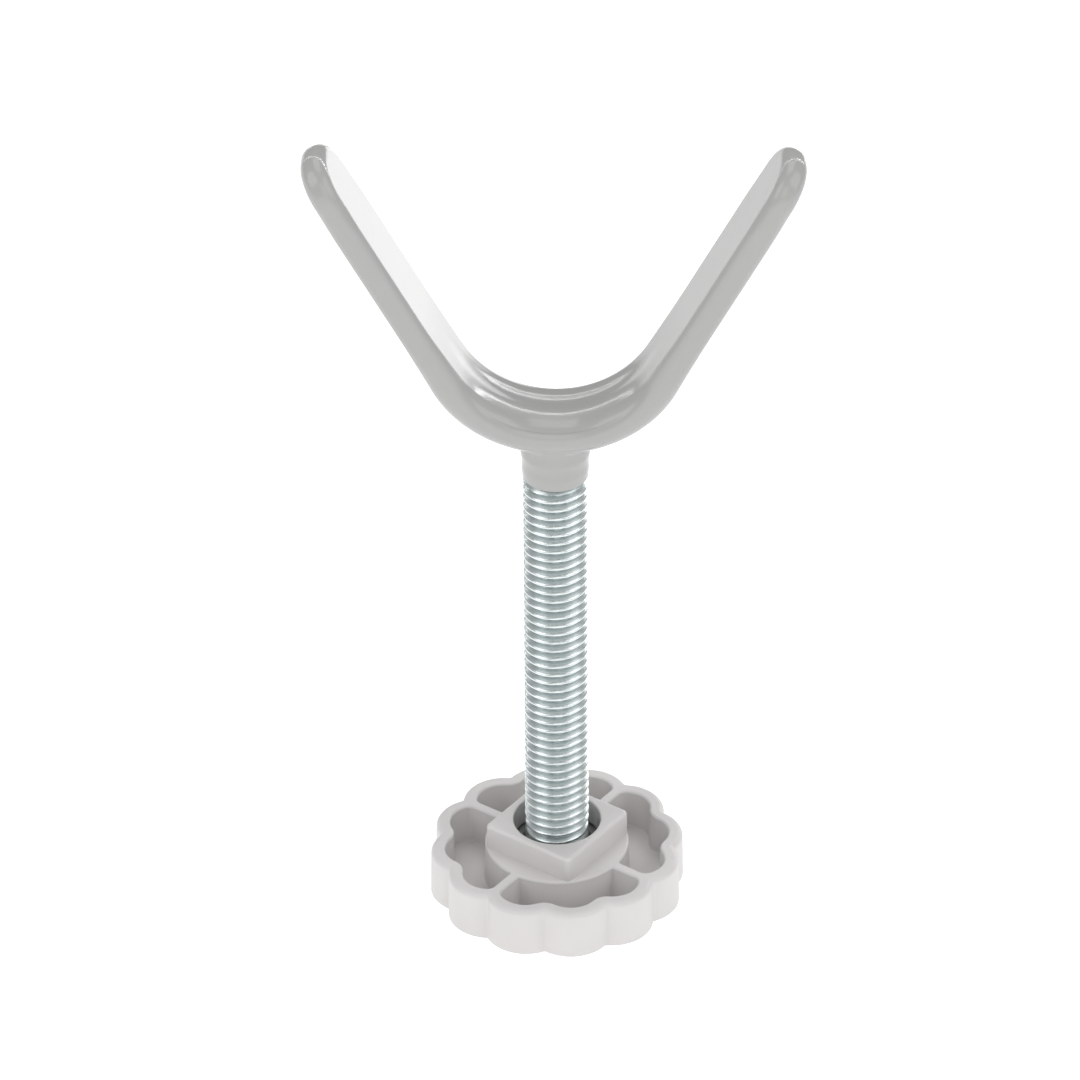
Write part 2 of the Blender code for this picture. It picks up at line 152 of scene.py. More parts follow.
# %% [markdown]
# The fork is one flat steel bar bent to a V with a round bottom.  Its middle line is an arc that turns
# smoothly into a straight arm on each side.  The arm's lean and the arc's radius are the two numbers that
# give the fork its character.  The arm's length follows from the frame: the highest point is on the
# rounded inner edge at the end of the tip, so its height is taken back along the arm.

# %% The fork's middle line
ARM_LEAN = math.radians(28.3)       # from vertical
BEND_RADIUS = 0.018
BEND_TURN = math.pi / 2 - ARM_LEAN
COAT_WIDTH = 2 * coat_high.y
ARM_THICKNESS = 0.0042
BEND_THICKNESS = 0.0057
TIP_ROUNDING = 0.00205              # of the coat's edges round the tips
NECK_LENGTH = 0.00662               # from the neck's foot to the lowest point of the bend

bend_foot = coat_low.z + NECK_LENGTH
bend_middle = bend_foot + BEND_THICKNESS / 2
arc_centre = bend_middle + BEND_RADIUS
arm_foot = arc_centre - BEND_RADIUS * math.sin(ARM_LEAN)
edge_rise = (ARM_THICKNESS / 2 - TIP_ROUNDING) * math.sin(ARM_LEAN) + TIP_ROUNDING
arm_length = (coat_high.z - edge_rise - arm_foot) / math.cos(ARM_LEAN) + TIP_ROUNDING - COAT_WIDTH / 2
print("coat", round(COAT_WIDTH * 1000, 2), "mm wide, straight arm of", round(arm_length * 1000, 2), "mm")


def middle_line(travel):
    """Point and directions of the middle line at a distance travelled from the lowest point, +X side.

    In the arc, the line turns by travel / radius.  After the arc it goes on straight.  Returns the point,
    the direction along the line and the direction square to it, towards the inside of the V.
    """
    turn = np.minimum(travel / BEND_RADIUS, BEND_TURN)
    run = travel - BEND_RADIUS * turn
    zero = np.zeros_like(turn)
    along = np.stack([np.cos(turn), zero, np.sin(turn)], axis=-1)
    inward = np.stack([-np.sin(turn), zero, np.cos(turn)], axis=-1)
    centre = np.array([0.0, 0.0, arc_centre])
    return centre - BEND_RADIUS * inward + run[:, None] * along, along, inward


# %% [markdown]
# Across the bar, the coat is a rectangle with well-rounded corners.  On the arms it is thin, and in the
# bend, where the moulded plastic is thickest, it swells and has sunk a little along its inner face as it
# cooled.  That shallow dish is what draws the bright lines along the inside of the bend.
#
# A superellipse would be one formula, but its corners and flats can't be set one by one.  So the section is
# put together from arcs and straights, each sampled evenly, and the numbers that change along the bar are
# arrays, one value for each ring.

# %% The coat's section
CORNER_STEPS = 14
FACE_STEPS = 30
SIDE_STEPS = 4
SWELL_LENGTH = 0.011                # of arm over which the bend's section runs out
ARM_CORNER = 0.00125
BEND_CORNER = 0.0026
DISH_DEPTH = 0.0002
DISH_REACH = 0.0022                 # half the dish's width
DISH_SHIFT = 0.0009                 # of its middle, towards the back
FRONT_FALL = 0.0005                 # how much lower the face is in front of the dish
FALL_RUN = 0.0045                   # over which it falls


def ease(share):
    """Smooth step: 3 share squared less 2 share cubed, held between 0 and 1."""
    share = np.clip(share, 0.0, 1.0)
    return share * share * (3 - 2 * share)


def half_section(side, half_width, thickness, corner, dish):
    """One side of the section, from the middle of the top to the middle of the underside.

    Returns distances out and heights, one row for each ring.  The top face is lowered by
    dish * (1 - (distance from the dish's middle / reach) squared) squared, which is a smooth hollow, and
    from the dish's front lip on by a smooth step.  dish runs from 1 in the bend to 0 on the arms.
    """
    half_width, thickness = half_width[:, None], thickness[:, None]
    corner, dish = corner[:, None], dish[:, None]
    flat = half_width - corner
    quarter = np.linspace(math.pi / 2, 0.0, CORNER_STEPS + 1)[None, :]
    across = np.linspace(0.0, 1.0, FACE_STEPS, endpoint=False)[None, :]
    top_out = np.concatenate([flat * across, flat + corner * np.cos(quarter)], axis=1)
    levelness = np.concatenate([np.ones_like(across), np.sin(quarter)], axis=1)
    top_height = thickness / 2 - corner + corner * levelness
    from_middle = (side * top_out - DISH_SHIFT) / DISH_REACH
    hollow = DISH_DEPTH * np.clip(1 - from_middle**2, 0.0, 1.0) ** 2
    fall = ease((DISH_SHIFT - DISH_REACH - side * top_out) / FALL_RUN)
    hollow = hollow + FRONT_FALL * fall * levelness
    down = np.linspace(1.0, -1.0, SIDE_STEPS + 1)[None, 1:-1]
    side_out = half_width + 0.0 * down
    side_height = (thickness / 2 - corner) * down
    out = np.concatenate([top_out, side_out, top_out[:, ::-1]], axis=1)
    height = np.concatenate([top_height - dish * hollow, side_height, -top_height[:, ::-1]], axis=1)
    return out, height


# %% [markdown]
# The tips are domed, and seen from the face of the arm they are between a half round and a square end.
# The formula swings the section round the end of the middle line: at the end of the straight part both
# sides stand square to the line, and they close like a pair of doors until they meet straight ahead.  How
# far each door reaches is a superellipse, whose one exponent sets how full the end is.

# %% The fork's coat as rings along the bar
BEND_RINGS = 120
ARM_RINGS = 60
TIP_RINGS = 30
TIP_FULLNESS = 2.15                 # the superellipse's exponent; 2 is a half round
DOME_LENGTH = 0.006                 # of arm over which the edges grow rounder towards the tip


def superellipse(swing):
    """Reach of the tip's outline at an angle, 1 at the sides and straight ahead.

    1 / (sine to the power + cosine to the power) to the power of 1 / exponent.
    """
    sine, cosine = np.sin(swing), np.clip(np.cos(swing), 0.0, 1.0)
    return (sine**TIP_FULLNESS + cosine**TIP_FULLNESS) ** (-1 / TIP_FULLNESS)


def outwards(side, swing, along):
    """The way out to one side of the bar, which the tip's swing turns until it points along the bar.

    It is sine of the swing across the bar, and cosine of the swing along it.
    """
    return np.sin(swing)[:, None] * np.array([0.0, side, 0.0]) + np.cos(swing)[:, None] * along


def both_arms(half):
    """Rings from tip to tip: the +X half's mirror image, run the other way, and then the +X half."""
    return np.concatenate([half[:0:-1] * np.array([-1.0, 1.0, 1.0]), half])


def coat_rings():
    """Rings of the whole coat, from the tip of the -X arm to the tip of the +X arm."""
    bend_run = BEND_RADIUS * BEND_TURN
    bend = np.linspace(0.0, bend_run, BEND_RINGS, endpoint=False)
    arm = bend_run + np.linspace(0.0, arm_length, ARM_RINGS)
    tip = np.full(TIP_RINGS, bend_run + arm_length)
    travel = np.concatenate([bend, arm, tip])
    swing = np.full(travel.shape, math.pi / 2)
    swing[-TIP_RINGS:] = math.pi / 2 * (1 - np.arange(1, TIP_RINGS + 1) / TIP_RINGS)
    point, along, inward = middle_line(travel)

    share = ease((travel - bend_run / 2) / (bend_run / 2 + SWELL_LENGTH))
    thickness = BEND_THICKNESS + share * (ARM_THICKNESS - BEND_THICKNESS)
    dome = ease((travel - bend_run - arm_length) / DOME_LENGTH + 1) * (1 - np.sin(swing) / 2)
    corner = BEND_CORNER + share * (ARM_CORNER - BEND_CORNER) + dome * (TIP_ROUNDING - ARM_CORNER)
    half_width = COAT_WIDTH / 2 * superellipse(swing)
    dish = (1 - share) ** 2

    sides = []
    for side in (1.0, -1.0):
        out, height = half_section(side, half_width, thickness, corner, dish)
        door = outwards(side, swing, along)[:, None]
        sides.append(point[:, None] + out[..., None] * door + height[..., None] * inward[:, None])
    back, front = sides
    return both_arms(np.concatenate([back, front[:, -2:0:-1]], axis=1))


rings = coat_rings()
coat_body = ring_mesh("coat_body", rings)
print("coat of", rings.shape[0], "rings with", rings.shape[1], "points each")

# %% [markdown]
# Under the bend, the coat ends in a short sleeve over the end of the rod.  It widens a little towards the
# bend, has two soft swells round it, and meets the bend in a small fillet.  The sleeve's top has to follow
# the underside of the bend, which curves both ways, so each of its rings takes its height from a formula
# for that underside.

# %% The neck
NECK_RADIUS = 0.00495
NECK_FLARE = 0.0004
NECK_FILLET = 0.0006
NECK_EDGE = 0.0003
NECK_BEADS = ((0.25, 0.00007), (0.64, 0.00012))    # place along the sleeve and height of each swell
BEAD_WIDTH = 0.0008
NECK_EDGE_RINGS = 9                 # in each rounded end of the sleeve
SLEEVE_RINGS = 30
TURNED_STEPS = 96


def full_turn(steps):
    """Angles once round, without the last, which would be the first again."""
    return np.linspace(0.0, 2 * math.pi, steps, endpoint=False)


def underside(x, y):
    """Height of the bend's underside: the arc's circle, larger by half the thickness, less at the corners."""
    beyond = np.clip(np.abs(y) - (COAT_WIDTH / 2 - BEND_CORNER), 0.0, BEND_CORNER)
    half = BEND_THICKNESS / 2 - BEND_CORNER + np.sqrt(BEND_CORNER**2 - beyond**2)
    return arc_centre - np.sqrt((BEND_RADIUS + half) ** 2 - x**2)


def neck_rings():
    """Rings of the sleeve, from its foot up into the bend."""
    turn = full_turn(TURNED_STEPS)
    quarter = np.linspace(0.0, math.pi / 2, NECK_EDGE_RINGS)
    foot = coat_low.z
    rise = np.linspace(NECK_EDGE, NECK_LENGTH - NECK_FILLET, SLEEVE_RINGS)
    share = rise / NECK_LENGTH
    bead = sum(
        height * np.exp(-(((share - place) * NECK_LENGTH / BEAD_WIDTH) ** 2)) for place, height in NECK_BEADS
    )
    radius = np.concatenate([
        NECK_RADIUS - NECK_EDGE * (1 - np.sin(quarter)),
        NECK_RADIUS + NECK_FLARE * share**2 + bead,
        NECK_RADIUS + NECK_FLARE + NECK_FILLET * (1 - np.cos(quarter)),
        [NECK_RADIUS + NECK_FLARE + NECK_FILLET],
    ])
    x = radius[:, None] * np.cos(turn)
    y = radius[:, None] * np.sin(turn)
    top = underside(x, y)
    full = (top - foot) / NECK_LENGTH
    rises = np.concatenate([
        NECK_EDGE * (1 - np.cos(quarter)),
        rise,
        NECK_LENGTH - NECK_FILLET * (1 - np.sin(quarter)),
        [NECK_LENGTH + NECK_FILLET],
    ])
    z = foot + rises[:, None] * (1 + (full - 1) * ease(rises / NECK_LENGTH)[:, None])
    return np.stack([x, y, z], axis=-1)


neck_body = ring_mesh("neck_body", neck_rings(), flat_ends=True)
print("neck", round(NECK_LENGTH * 1000, 2), "mm long")


# %% [markdown]
# The coat is a skin, so the bar and the end of the rod need room inside it.  The same formulas, with the
# bar's own section, give the hollow, a little larger than the bar all round.

# %% The room inside the coat
PLAY = 0.0003                       # between neighbouring pieces
SHANK_RADIUS = 0.0039
BAR_THICKNESS = 0.0025
HOLLOW_BEND_RINGS = 16
HOLLOW_TIP_RINGS = 9
TIP_WALL = 0.0012                   # of coat ahead of the bar's ends


def bar_hollow_rings():
    """Rings of the bar with play all round, from tip to tip."""
    bend_run = BEND_RADIUS * BEND_TURN
    half_width = core_high.y + PLAY
    bar_end = bend_run + arm_length + COAT_WIDTH / 2 - half_width - TIP_WALL
    travel = np.concatenate([
        np.linspace(0.0, bend_run, HOLLOW_BEND_RINGS + 1), np.full(HOLLOW_TIP_RINGS + 1, bar_end)
    ])
    swing = np.full(travel.shape, math.pi / 2)
    swing[-HOLLOW_TIP_RINGS - 1:] = np.linspace(math.pi / 2, 0.0, HOLLOW_TIP_RINGS + 1)
    point, along, inward = middle_line(travel)
    corners = []
    for side, face in ((1.0, 1.0), (1.0, -1.0), (-1.0, -1.0), (-1.0, 1.0)):
        door = outwards(side, swing, along)
        corners.append(point + half_width * door + face * (BAR_THICKNESS / 2 + PLAY) * inward)
    return both_arms(np.stack(corners, axis=1))


def around_z(radius, turn, height):
    """Points at radii, angles and heights: (radius cosine, radius sine, height)."""
    return np.stack(np.broadcast_arrays(radius * np.cos(turn), radius * np.sin(turn), height), axis=-1)


def turned_rings(profile):
    """Rings of a turned shape: each (radius, height) of the profile carried round Z."""
    radius, height = np.array(profile).T[:, :, None]
    return around_z(radius, full_turn(TURNED_STEPS), height)


shank_bore = turned_rings([(SHANK_RADIUS + PLAY, coat_low.z - PLAY), (SHANK_RADIUS + PLAY, bend_middle)])
fork_coat = combined("fork_coat", coat_body, [
    ("UNION", neck_body),
    ("DIFFERENCE", ring_mesh("bar_hollow", bar_hollow_rings())),
    ("DIFFERENCE", ring_mesh("shank_bore", shank_bore, flat_ends=True)),
])
report(fork_coat)

# %% [markdown]
# The rod's thread is rolled, not cut, so its crests and roots are rounded.  It could be one turn repeated
# along the rod, but then every joint has to be welded.  Instead the radius is a function of height and
# angle: the distance to the nearest crest, measured along the rod, runs from 0 to half a pitch, and the
# surface falls from crest to root over that distance.

# %% The threaded rod
PITCH = 0.0015
THREAD_DEPTH = 0.00092
CREST_FLAT = PITCH / 5
ROUNDING = 0.16                     # of the thread's corners, as a share of its depth
ROD_RADIUS = rod_high.x
ROD_CHAMFER = 0.0007
THREAD_TOP = coat_low.z - PLAY
ROWS_PER_PITCH = 16
ROD_STEPS = 96
ROD_SHARP_ANGLE = math.radians(70)


def rounded_ramp(value, softness):
    """0 below 0 and the value above it, with the corner rounded: half of value + its root with softness."""
    return (value + np.sqrt(value**2 + softness**2)) / 2


def thread_radius(height, turn):
    """Radius of a right-hand thread at a height and an angle."""
    phase = (height - rod_low.z) / PITCH - turn / (2 * math.pi)
    from_crest = np.abs(phase - np.round(phase)) * PITCH
    fall = (from_crest - CREST_FLAT / 2) / (PITCH / 2 - CREST_FLAT / 2)
    fall = 1 - rounded_ramp(1 - rounded_ramp(fall, ROUNDING), ROUNDING)
    return ROD_RADIUS - THREAD_DEPTH * fall


def rod_rings():
    """Rings of the rod: thread, limited by a cone at each end, then the plain shank."""
    rows = int((THREAD_TOP - rod_low.z) / PITCH * ROWS_PER_PITCH)
    height = np.linspace(rod_low.z, THREAD_TOP, rows)[:, None]
    turn = full_turn(ROD_STEPS)
    from_end = np.minimum(height - rod_low.z, THREAD_TOP - height)
    radius = np.minimum(thread_radius(height, turn), ROD_RADIUS - ROD_CHAMFER + from_end)
    shank = np.full((2, ROD_STEPS), SHANK_RADIUS)
    radius = np.concatenate([radius, shank])
    height = np.concatenate([height, [[THREAD_TOP], [rod_high.z]]])
    return around_z(radius, turn, height)


rod = link("rod", ring_mesh("rod", rod_rings(), flat_ends=True))
rod.data.set_sharp_from_angle(angle=ROD_SHARP_ANGLE)
report(rod)

# %% [markdown]
# The bush is a turned metal ring, moulded into the wheel's hub.  Only its top shows, down in the square
# boss, so its profile matters more than its length: a narrow chamfer at the bore and one at the outside,
# which is knurled so that the plastic grips it.

# %% The thread bush
BUSH_CHAMFER = 0.0004
BUSH_BORE = ROD_RADIUS + PLAY
KNURLS = 48
STEPS_PER_KNURL = 4
KNURL_DEPTH = 0.00012


def bush_rings():
    """Rings round the bush's closed profile; the outside is waved by a cosine of the angle."""
    top, foot, outside = bush_high.z, bush_low.z, bush_high.x
    profile = np.array([
        (BUSH_BORE, foot + BUSH_CHAMFER), (BUSH_BORE + BUSH_CHAMFER, foot),
        (outside - BUSH_CHAMFER, foot), (outside, foot + BUSH_CHAMFER),
        (outside, top - BUSH_CHAMFER), (outside - BUSH_CHAMFER, top),
        (BUSH_BORE + BUSH_CHAMFER, top), (BUSH_BORE, top - BUSH_CHAMFER),
        (BUSH_BORE, foot + BUSH_CHAMFER),
    ])
    turn = full_turn(KNURLS * STEPS_PER_KNURL)
    knurled = profile[:, :1] > outside - BUSH_CHAMFER / 2
    radius = profile[:, :1] - KNURL_DEPTH / 2 * knurled * (1 - np.cos(KNURLS * turn))
    return around_z(radius, turn, profile[:, 1:])


bush = link("bush", ring_mesh("bush", bush_rings()))
bush.data.set_sharp_from_angle(angle=SHARP_ANGLE)
report(bush)

# %% [markdown]
# The hand wheel is moulded in one piece.  Its outline is twelve arcs that bulge out, joined by twelve small
# ones that bulge in.  Walls with rounded edges come from carrying a profile along that outline: each point
# of the profile says how far to move square to the outline, and at what height.  That only needs the
# outline's points and, at each one, the direction out of the shape, which an arc knows exactly.

# %% Outlines made of arcs
LOBES = 12
WHEEL_TURN = math.radians(9.9)      # of the first lobe, from +X
WHEEL_RADIUS = 0.01968
LOBE_RADIUS = 0.00636
LOBE_CENTRE = WHEEL_RADIUS - LOBE_RADIUS
CREASE_RADIUS = 0.0005
LOBE_STEPS = 30
CREASE_STEPS = 8
HALF_STEP = math.pi / LOBES
CREASE_CENTRE = LOBE_CENTRE * math.cos(HALF_STEP) + math.sqrt(
    (LOBE_RADIUS + CREASE_RADIUS) ** 2 - (LOBE_CENTRE * math.sin(HALF_STEP)) ** 2
)


def polar(radius, turn):
    """A point at a radius and an angle."""
    return radius * np.stack([np.cos(turn), np.sin(turn)], axis=-1)


def arc(centre, radius, start, end, steps, bulge=1.0):
    """Points from angle start to angle end, without the last, and the direction out of the shape at each.

    Out is away from the arc's centre where the shape bulges, and towards it where bulge is -1.
    """
    turn = np.linspace(start, end, steps, endpoint=False)
    return centre + polar(radius, turn), bulge * polar(1.0, turn)


def chain(arcs):
    """Several arcs as one outline."""
    return np.concatenate([points for points, _ in arcs]), np.concatenate([out for _, out in arcs])


def direction(here, there):
    """The angle of the line from one point to another."""
    return math.atan2(there[1] - here[1], there[0] - here[0])


def rim_arcs():
    """The waves of the rim, for one lobe and the crease after it, with the lobe at angle 0."""
    lobe = polar(LOBE_CENTRE, 0.0)
    crease = polar(CREASE_CENTRE, HALF_STEP)
    following = polar(LOBE_CENTRE, 2 * HALF_STEP)
    reach = direction(lobe, crease)
    turn_in = direction(crease, lobe) % (2 * math.pi)
    turn_out = direction(crease, following) % (2 * math.pi)
    return [
        arc(lobe, LOBE_RADIUS, -reach, reach, LOBE_STEPS),
        arc(crease, CREASE_RADIUS, turn_in, turn_out, CREASE_STEPS, -1.0),
    ]


def turned_by(outline, turn):
    """An outline turned about the wheel's axis."""
    rotation = np.array([[math.cos(turn), math.sin(turn)], [-math.sin(turn), math.cos(turn)]])
    return outline[0] @ rotation, outline[1] @ rotation


def carried(outline, profile):
    """Rings from an outline and a profile of (how far out, height)."""
    points, out = outline
    rings = []
    for offset, height in profile:
        flat = points + offset * out
        rings.append(np.concatenate([flat, np.full((len(flat), 1), height)], axis=1))
    return np.stack(rings)


def rounding(radius, steps, last=math.pi / 2):
    """A round edge as (distance in from the wall, distance in from the face), a quarter round or less."""
    turn = np.linspace(0.0, last, steps)
    return np.stack([radius * (1 - np.cos(turn)), radius * (1 - np.sin(turn))], axis=-1)


# %% [markdown]
# The rim is thickest at its foot and its top edge is well rounded, so that it is kind to the fingers.  The
# foot has only a trace of rounding, because the wheel stands on it.

# %% The wheel's body
RIM_HEIGHT = 0.0080
RIM_EDGE = 0.0009
FOOT_EDGE = 0.00025
RIM_DRAFT = 0.00012                 # the rim's wall leans in by this much
RIM_EDGE_STEPS = 10
FOOT_EDGE_STEPS = 5

unit = chain(rim_arcs())
rim_outline = chain([turned_by(unit, WHEEL_TURN + 2 * HALF_STEP * lobe) for lobe in range(LOBES)])
top_round = rounding(RIM_EDGE, RIM_EDGE_STEPS)
foot_round = rounding(FOOT_EDGE, FOOT_EDGE_STEPS)[::-1]
rim_profile = np.concatenate([
    foot_round * (-1, 1),
    (-RIM_DRAFT, RIM_HEIGHT) - top_round,
])
wheel_body = ring_mesh("wheel_body", carried(rim_outline, rim_profile), flat_ends=True)
print("rim outline of", len(rim_outline[0]), "points")

# %% [markdown]
# Four pockets lighten the wheel.  Their outer wall runs a constant distance inside the rim's waves, their
# inner wall is the round hub, and between them stand thin ribs.  A pocket is symmetrical, so half of its
# outline is worked out, with the rib along X, and the other half is its mirror image.  Where the rib meets
# the rim the corner is generous, and where it meets the hub it is nearly sharp.

# %% A pocket's outline
POCKETS = 4
RIM_WALL = 0.0024
HUB_RADIUS = 0.0112
RIB_THICKNESS = 0.0018
RIM_CORNER = 0.0013
HUB_CORNER = 0.0003
POCKET_HALF = math.pi / POCKETS
FLOOR_THICKNESS = 0.0015
HUB_STEPS = 26
HUB_CORNER_STEPS = 5
RIM_CORNER_STEPS = 10
LAST_LOBE_STEPS = 18
INNER_STEPS = 12                    # in the inner crease, and in half of the middle lobe
INNER_LOBE = LOBE_RADIUS - RIM_WALL
INNER_CREASE = CREASE_RADIUS + RIM_WALL


def half_pocket():
    """From the middle of the hub's wall, along the rib, to the middle of the rim's wall.

    Each corner is a circle that touches its two walls: its centre is found where the rib's wall, moved in
    by the corner's radius, crosses the other wall moved in by as much.
    """
    wall = RIB_THICKNESS / 2
    reach = HUB_RADIUS + HUB_CORNER
    hub_corner = np.array([math.sqrt(reach**2 - (wall + HUB_CORNER) ** 2), wall + HUB_CORNER])
    hub_touch = math.atan2(hub_corner[1], hub_corner[0])

    last_lobe = polar(LOBE_CENTRE, HALF_STEP)
    reach = INNER_LOBE - RIM_CORNER
    rise = last_lobe[1] - wall - RIM_CORNER
    rim_corner = last_lobe + np.array([math.sqrt(reach**2 - rise**2), -rise])
    rim_touch = direction(last_lobe, rim_corner)

    crease = polar(CREASE_CENTRE, 2 * HALF_STEP)
    middle_lobe = polar(LOBE_CENTRE, POCKET_HALF)
    to_last = direction(crease, last_lobe) % (2 * math.pi)
    to_middle = direction(crease, middle_lobe) % (2 * math.pi)
    return chain([
        arc(0.0, HUB_RADIUS, POCKET_HALF, hub_touch, HUB_STEPS, -1.0),
        arc(hub_corner, HUB_CORNER, hub_touch + math.pi, 1.5 * math.pi, HUB_CORNER_STEPS),
        arc(rim_corner, RIM_CORNER, -math.pi / 2, rim_touch, RIM_CORNER_STEPS),
        arc(last_lobe, INNER_LOBE, rim_touch, direction(last_lobe, crease), LAST_LOBE_STEPS),
        arc(crease, INNER_CREASE, to_last, to_middle, INNER_STEPS, -1.0),
        arc(middle_lobe, INNER_LOBE, direction(middle_lobe, crease), POCKET_HALF, INNER_STEPS),
        (middle_lobe + polar(INNER_LOBE, np.array([POCKET_HALF])), polar(1.0, np.array([POCKET_HALF]))),
    ])


def mirrored_about(outline, turn):
    """An outline mirrored about a line through the axis, run the other way, without its two ends."""
    mirror = np.array([[math.cos(2 * turn), math.sin(2 * turn)], [math.sin(2 * turn), -math.cos(2 * turn)]])
    return (outline[0] @ mirror)[-2:0:-1], (outline[1] @ mirror)[-2:0:-1]


first_half = half_pocket()
pocket_outline = chain([first_half, mirrored_about(first_half, POCKET_HALF)])
print("pocket outline of", len(pocket_outline[0]), "points")

# %% [markdown]
# The pocket's solid is only a cutter.  It flares at the top, so that the edge it leaves is rounded, and it
# narrows at the bottom, so that the corner with the floor is filled.  The flare stops just short of level,
# because a surface that lies flat on another can't be cut cleanly.

# %% The pockets' cutters
POCKET_EDGE = 0.00045
POCKET_FILLET = 0.00022
POCKET_DRAFT = 0.0001
NEARLY_LEVEL = math.radians(72)
CLEAR = 0.0005                      # how far a cutter sticks out of what it cuts
POCKET_FILLET_STEPS = 5
POCKET_EDGE_STEPS = 8

floor_round = rounding(POCKET_FILLET, POCKET_FILLET_STEPS)[::-1]
mouth_round = rounding(POCKET_EDGE, POCKET_EDGE_STEPS, NEARLY_LEVEL)
lift = mouth_round[-1, 1]
pocket_profile = np.concatenate([
    (0.0, FLOOR_THICKNESS) + floor_round * (-1, 1),
    (POCKET_DRAFT, RIM_HEIGHT + lift / 2) + mouth_round * (1, -1),
    [(POCKET_DRAFT + mouth_round[-1, 0] + CLEAR / 4, RIM_HEIGHT + CLEAR)],
])
first_rib = WHEEL_TURN - POCKET_HALF
pocket_cuts = []
for pocket in range(POCKETS):
    outline = turned_by(pocket_outline, first_rib + pocket * 2 * POCKET_HALF)
    cut = ring_mesh(f"pocket_{pocket + 1}", carried(outline, pocket_profile), flat_ends=True)
    pocket_cuts.append(("DIFFERENCE", cut))
print(len(pocket_cuts), "pockets", round((RIM_HEIGHT - FLOOR_THICKNESS) * 1000, 2), "mm deep")

# %% [markdown]
# A square boss stands on the hub, to be held by a spanner or by a square hole.  It is the same kind of
# shape: a square with rounded corners as the outline, and a drafted side with a rounded top edge as the
# profile.  Down its middle goes a counterbore, the seat of the bush and the rod's way through the floor.

# %% The boss and the bush's seat
BOSS_HALF_SIDE = 0.00805
BOSS_CORNER = 0.0010
BOSS_DRAFT = 0.0001
BOSS_EDGE = 0.0006
COUNTERBORE_RADIUS = 0.00669
COUNTERBORE_EDGE = 0.0003
FLOOR_BORE = 0.0054
BOSS_CORNER_STEPS = 12
BOSS_EDGE_STEPS = 8
LIP_STEPS = 6


def boss_corner(quarter):
    """One rounded corner of the square, which starts at this many quarter turns."""
    start = quarter * math.pi / 2
    centre = polar((BOSS_HALF_SIDE - BOSS_CORNER) * math.sqrt(2), start + math.pi / 4)
    return arc(centre, BOSS_CORNER, start, (quarter + 1) * math.pi / 2, BOSS_CORNER_STEPS)


boss_outline = chain([boss_corner(quarter) for quarter in range(4)])
boss_round = rounding(BOSS_EDGE, BOSS_EDGE_STEPS)
boss_profile = np.concatenate([
    [(0.0, RIM_HEIGHT - FLOOR_THICKNESS)],
    (-BOSS_DRAFT, wheel_high.z) - boss_round,
])
boss_rings = carried(turned_by(boss_outline, WHEEL_TURN - math.pi / 4), boss_profile)
boss = ring_mesh("boss", boss_rings, flat_ends=True)

lip = rounding(COUNTERBORE_EDGE, LIP_STEPS, NEARLY_LEVEL)
seat_profile = [
    (FLOOR_BORE, -CLEAR),
    (FLOOR_BORE, bush_low.z - PLAY),
    (bush_high.x + PLAY, bush_low.z - PLAY),
    (bush_high.x + PLAY, bush_high.z + PLAY),
    (COUNTERBORE_RADIUS, bush_high.z + PLAY),
    *[(COUNTERBORE_RADIUS + out, wheel_high.z + lip[-1, 1] / 2 - below) for out, below in lip],
    (COUNTERBORE_RADIUS + lip[-1, 0] + CLEAR / 4, wheel_high.z + CLEAR),
]
seat = ring_mesh("seat", turned_rings(seat_profile), flat_ends=True)
wheel = combined("wheel", wheel_body, [*pocket_cuts, ("UNION", boss), ("DIFFERENCE", seat)])
report(wheel)

# %% [markdown]
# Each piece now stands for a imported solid, rides on its body and takes its slot.  The bar inside the coat
# can't be seen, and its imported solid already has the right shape, so it stays.

# %% Pieces, bodies and slots
bodies = {node: body for body, nodes in frame["record"]["behaviour"]["bodies"].items() for node in nodes}
print("bodies:", bodies)
PIECES = [
    (fork_coat, "fork_coating"),
    (rod, "threaded_rod"),
    (bush, "thread_bush"),
    (wheel, "hand_wheel"),
]
for piece, node in PIECES:
    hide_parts(node)
    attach(piece, bodies[node])

# %% [markdown]
# Finishes are worked out with shader nodes.  Sums are easier to read as Python than as a web of boxes, so a
# number's socket is wrapped in a small class whose operators add the Math nodes.  Any other node is made by
# one method, which sets what the node is before it joins what goes in.

# %% Shader maths
COLOUR_A, COLOUR_B, COLOUR_RESULT = 6, 7, 2     # places of a Mix node's colour sockets


class Number:
    """A number somewhere in a node tree.  Operators on it add Math nodes."""

    def __init__(self, tree, socket):
        self.tree = tree
        self.socket = socket

    def maths(self, operation, *values, clamp=False):
        """A new Math node on these values, each a number or a Number."""
        node = self.tree.nodes.new("ShaderNodeMath")
        node.operation = operation
        node.use_clamp = clamp
        for entry, value in zip(node.inputs, values):
            if isinstance(value, Number):
                self.tree.links.new(value.socket, entry)
            else:
                entry.default_value = value
        return Number(self.tree, node.outputs[0])

    def __add__(self, other):
        return self.maths("ADD", self, other)

    __radd__ = __add__

    def __sub__(self, other):
        return self.maths("SUBTRACT", self, other)

    def __rsub__(self, other):
        return self.maths("SUBTRACT", other, self)

    def __mul__(self, other):
        return self.maths("MULTIPLY", self, other)

    __rmul__ = __mul__

    def __truediv__(self, other):
        return self.maths("DIVIDE", self, other)

    def __rtruediv__(self, other):
        return self.maths("DIVIDE", other, self)

    def root(self):
        return self.maths("SQRT", self)

    def sine(self):
        return self.maths("SINE", self)

    def clamped(self):
        return self.maths("ADD", self, 0.0, clamp=True)


